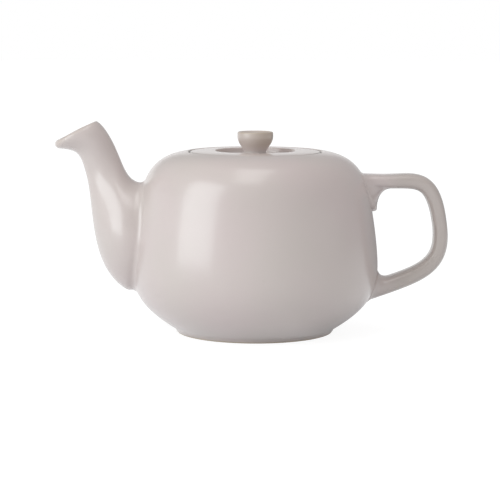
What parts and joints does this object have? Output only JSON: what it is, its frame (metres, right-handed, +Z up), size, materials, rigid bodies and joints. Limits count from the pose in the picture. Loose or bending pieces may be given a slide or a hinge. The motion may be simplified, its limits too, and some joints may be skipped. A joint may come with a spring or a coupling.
{
  "type": "teapot",
  "caption": "Round-shouldered stoneware teapot in a satin grey glaze, with a short high spout, a strap handle and a flush lid with a dished knob.",
  "frame": {"origin": "centre of the foot ring's standing face, on the axis of the turned body", "axes": "+X along the pot from the spout to the handle, +Z up along the axis of the turned body"},
  "size_m": [0.2469, 0.155, 0.1325],
  "materials": {
    "glaze": "satin"
  },
  "bodies": {
    "root": {"pot": "glaze", "lid": "glaze"}
  },
  "joints": []
}
